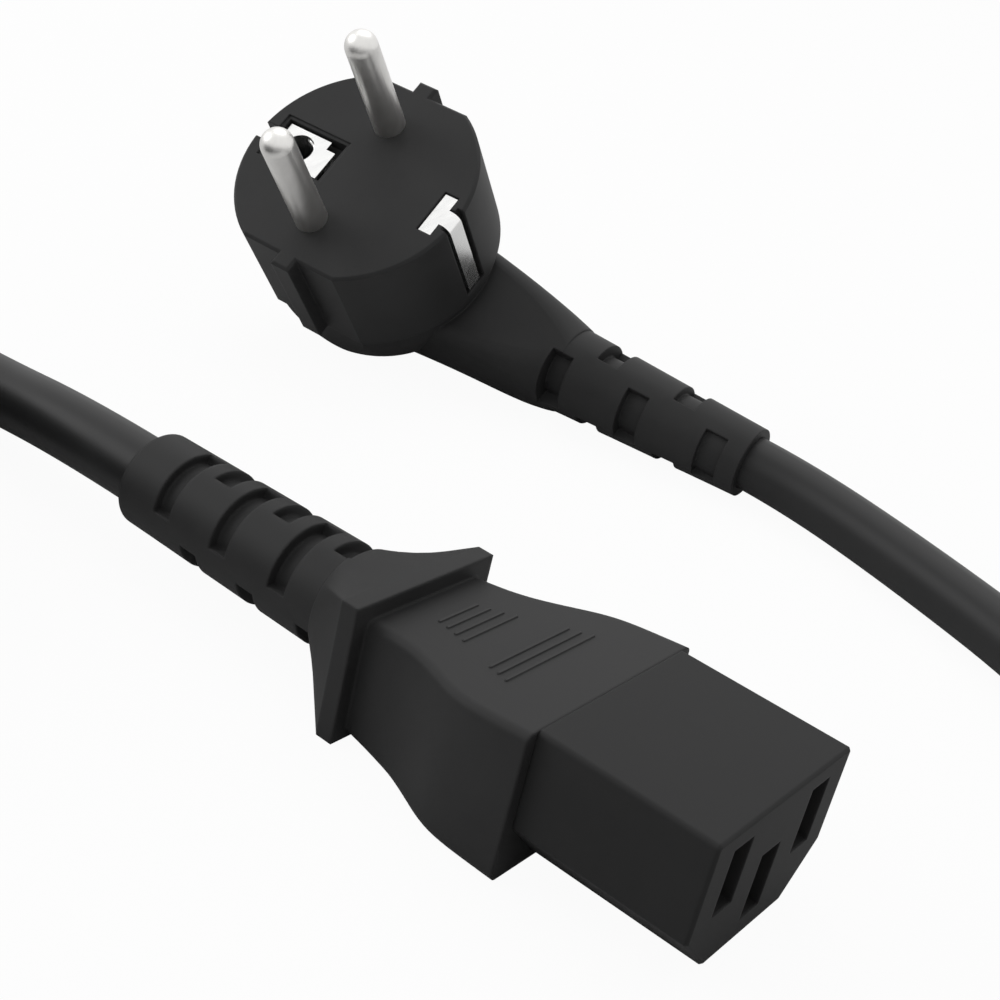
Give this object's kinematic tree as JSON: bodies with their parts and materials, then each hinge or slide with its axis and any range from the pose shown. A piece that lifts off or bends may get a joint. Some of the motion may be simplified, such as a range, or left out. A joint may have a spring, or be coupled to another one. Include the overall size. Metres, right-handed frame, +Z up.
{
  "type": "power cord",
  "caption": "Mains power cord with an angled earthed plug at one end and a straight appliance connector at the other, the spare length coiled.",
  "frame": {"origin": "on the flat underside of the connector's body, on its centre line, 27 mm behind the mating face", "axes": "+Z up from the surface the cord lies on. +X and +Y lie along the table, with the connector's mating face turned 36 degrees from +X towards +Y, so that both ends and the coil fill a small rectangle"},
  "size_m": [0.1785, 0.2527, 0.0509],
  "materials": {
    "moulded_pvc": "matte charcoal soft PVC with a fine mould grain",
    "insert_plastic": "matte black hard plastic",
    "bridge_plastic": "hard dark plastic, hidden in the moulding",
    "nickel_pin": "bright nickel plate on brass",
    "nickel_strip": "bright nickel plated strip",
    "brass_contact": "plain rolled brass",
    "cable_sheath": "satin black PVC sheath",
    "core_brown": "brown core insulation",
    "core_blue": "blue core insulation",
    "core_green_yellow": "green and yellow core insulation"
  },
  "bodies": {
    "root": {"plug_moulding": "moulded_pvc", "plug_bridge": "bridge_plastic", "pin_line": "nickel_pin", "pin_neutral": "nickel_pin", "earth_strap": "nickel_strip", "earth_socket": "nickel_strip", "plug_cable_end": "cable_sheath", "plug_core_line": "core_brown", "plug_core_neutral": "core_blue", "plug_core_earth": "core_green_yellow", "connector_body": "moulded_pvc", "connector_insert": "insert_plastic", "contact_line": "brass_contact", "contact_neutral": "brass_contact", "contact_earth": "brass_contact", "connector_cable_end": "cable_sheath", "connector_core_line": "core_brown", "connector_core_neutral": "core_blue", "connector_core_earth": "core_green_yellow", "cord_to_plug": "cable_sheath", "cord_coil": "cable_sheath", "cord_to_connector": "cable_sheath"}
  },
  "joints": []
}
